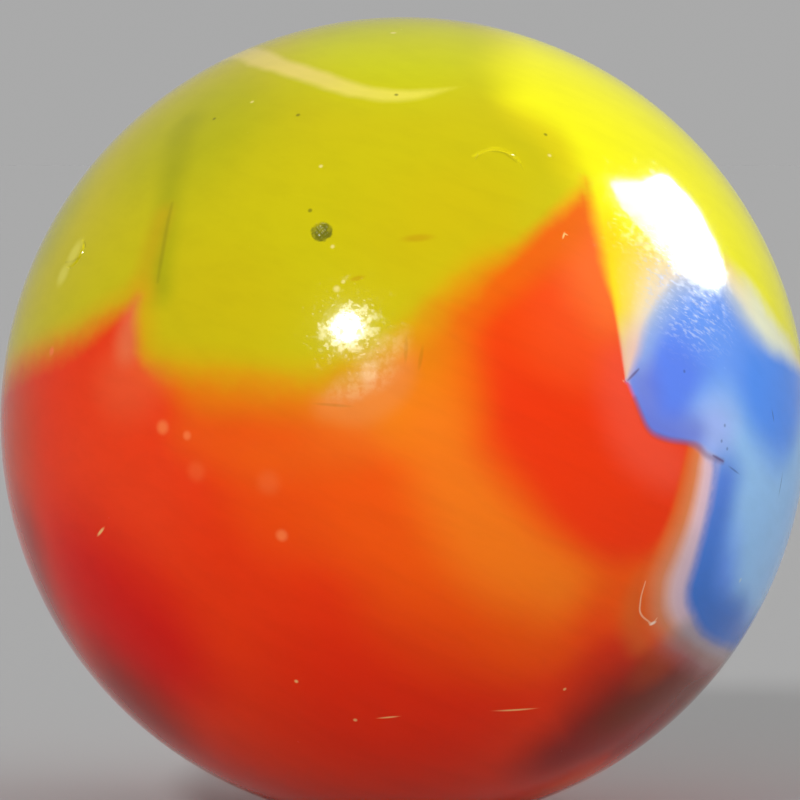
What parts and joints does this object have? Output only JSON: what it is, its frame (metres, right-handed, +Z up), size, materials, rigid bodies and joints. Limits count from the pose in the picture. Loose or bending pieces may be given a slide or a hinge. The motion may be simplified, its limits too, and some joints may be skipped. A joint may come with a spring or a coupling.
{
  "type": "glass marble",
  "caption": "Solid ball of opaque swirled glass for marble games, run tracks and decoration, with light surface wear.",
  "frame": {"origin": "centre of the ball", "axes": "+Z up through the yellow-green side, -Y out of the front where the red wedge meets it, +X to the right, where the blue and white glass is"},
  "size_m": [0.016, 0.016, 0.016],
  "materials": {
    "swirl_glass": "glossy opaque glass, swirled yellow-green, yellow, red, orange, white and blue"
  },
  "bodies": {
    "root": {"marble": "swirl_glass"}
  },
  "joints": []
}
